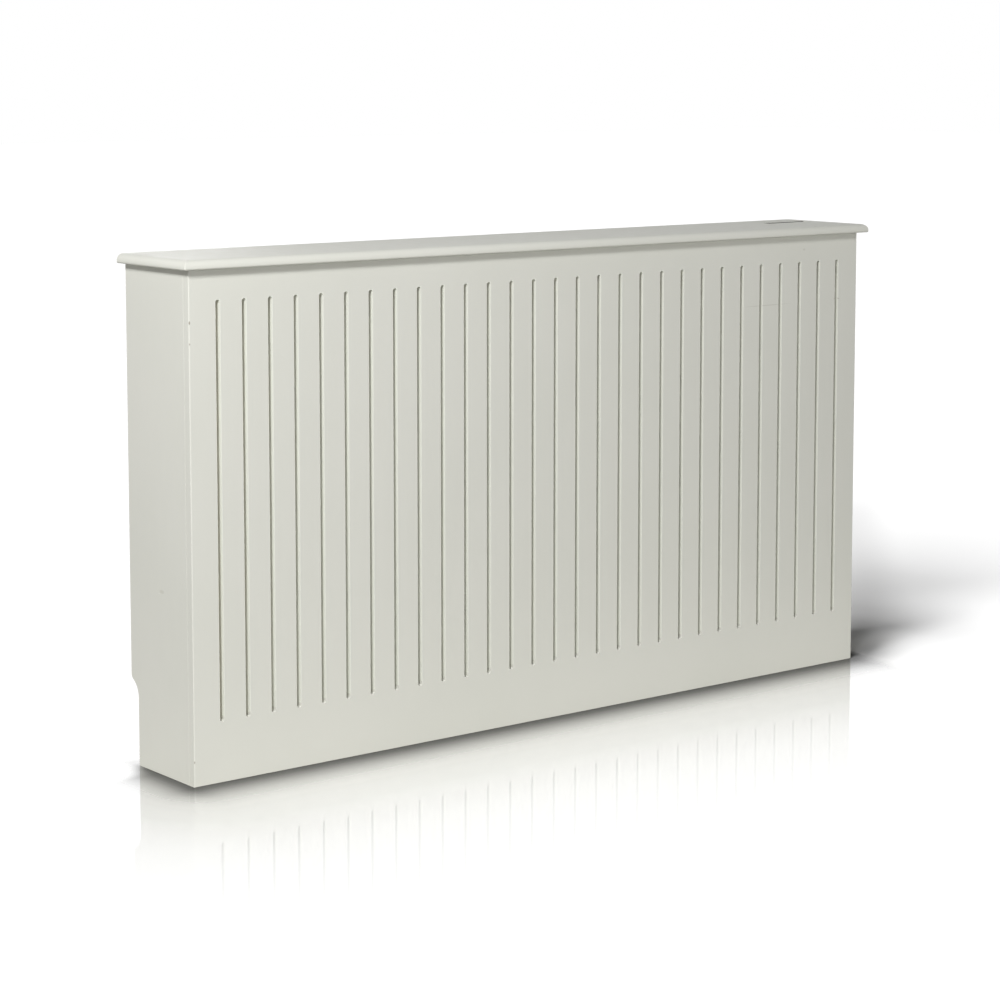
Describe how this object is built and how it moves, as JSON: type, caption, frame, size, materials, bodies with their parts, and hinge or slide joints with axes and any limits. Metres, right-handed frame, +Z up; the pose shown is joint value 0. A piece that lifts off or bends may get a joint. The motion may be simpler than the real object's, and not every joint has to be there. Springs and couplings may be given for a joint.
{
  "type": "radiator cover cabinet",
  "caption": "Floor-standing painted board cover for a wall radiator: upright-slotted front, plain sides notched for the skirting board, moulded overhanging top and a lift-out valve hatch.",
  "frame": {"origin": "on the floor under the middle of the whole cover", "axes": "+X along the wall to the viewer's right, +Y from the room to the wall, +Z up"},
  "size_m": [1.532, 0.21, 0.85],
  "materials": {
    "painted_board": "pale stone satin paint on fibreboard",
    "batten_wood": "planed softwood",
    "dowel_wood": "plain beech",
    "screw_steel": "yellow zinc plated",
    "hanger_steel": "bright zinc plated"
  },
  "bodies": {
    "cabinet": {"front_panel": "painted_board", "left_side_panel": "painted_board", "right_side_panel": "painted_board", "top_board": "painted_board", "front_top_batten": "batten_wood", "lower_front_batten": "batten_wood", "left_top_batten": "batten_wood", "right_top_batten": "batten_wood", "left_corner_batten": "batten_wood", "right_corner_batten": "batten_wood", "wall_rail": "batten_wood", "hatch_cleat": "batten_wood", "top_dowels": "dowel_wood", "rail_dowels": "dowel_wood", "corner_batten_screws": "screw_steel", "front_batten_screws": "screw_steel", "side_batten_screws": "screw_steel", "top_board_screws": "screw_steel", "cleat_screws": "screw_steel", "hanger_screws": "screw_steel", "left_hanger_plate": "hanger_steel", "right_hanger_plate": "hanger_steel"},
    "hatch": {"valve_hatch": "painted_board", "hatch_locating_pins": "dowel_wood"}
  },
  "joints": [
    {"name": "hatch_lift", "type": "slide", "parent": "cabinet", "child": "hatch", "axis": [0, 0, 1], "range_m": [0, 0.1]}
  ]
}
